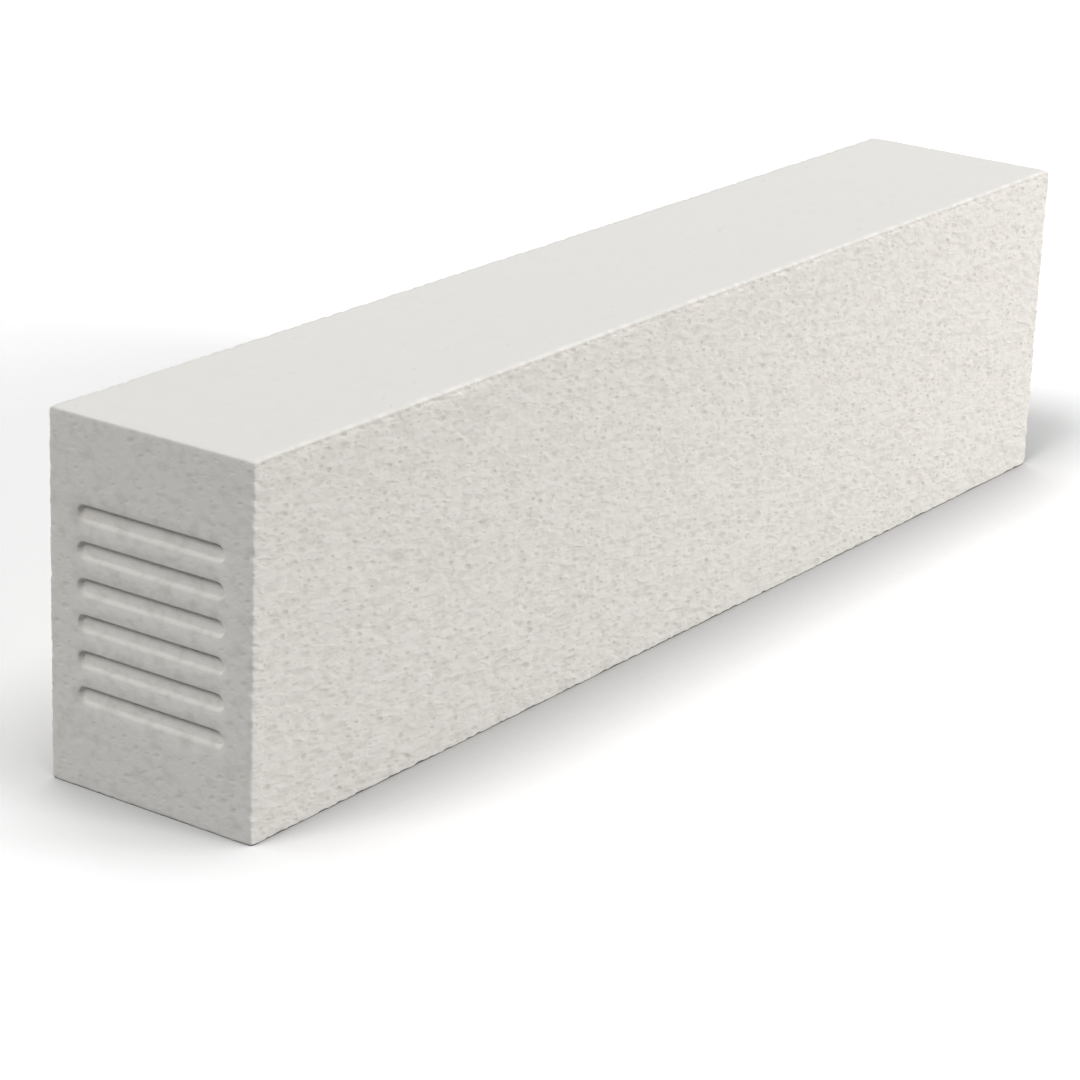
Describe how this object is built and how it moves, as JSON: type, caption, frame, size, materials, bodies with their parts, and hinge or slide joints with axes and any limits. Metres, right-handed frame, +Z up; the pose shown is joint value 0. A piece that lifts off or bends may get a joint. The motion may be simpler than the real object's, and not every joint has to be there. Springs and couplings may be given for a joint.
{
  "type": "aerated concrete block",
  "caption": "Long rectangular lightweight masonry block of aerated concrete, with porous wire-cut sides, softened arrises and stamped key bars in one end.",
  "frame": {"origin": "middle of the bed face that the block rests on", "axes": "+X along the length, away from the stamped end; +Y across the thickness; +Z up"},
  "size_m": [0.6, 0.1, 0.15],
  "materials": {
    "aerated_concrete": "matte, chalky, wire-cut and porous"
  },
  "bodies": {
    "root": {"aerated_block": "aerated_concrete"}
  },
  "joints": []
}
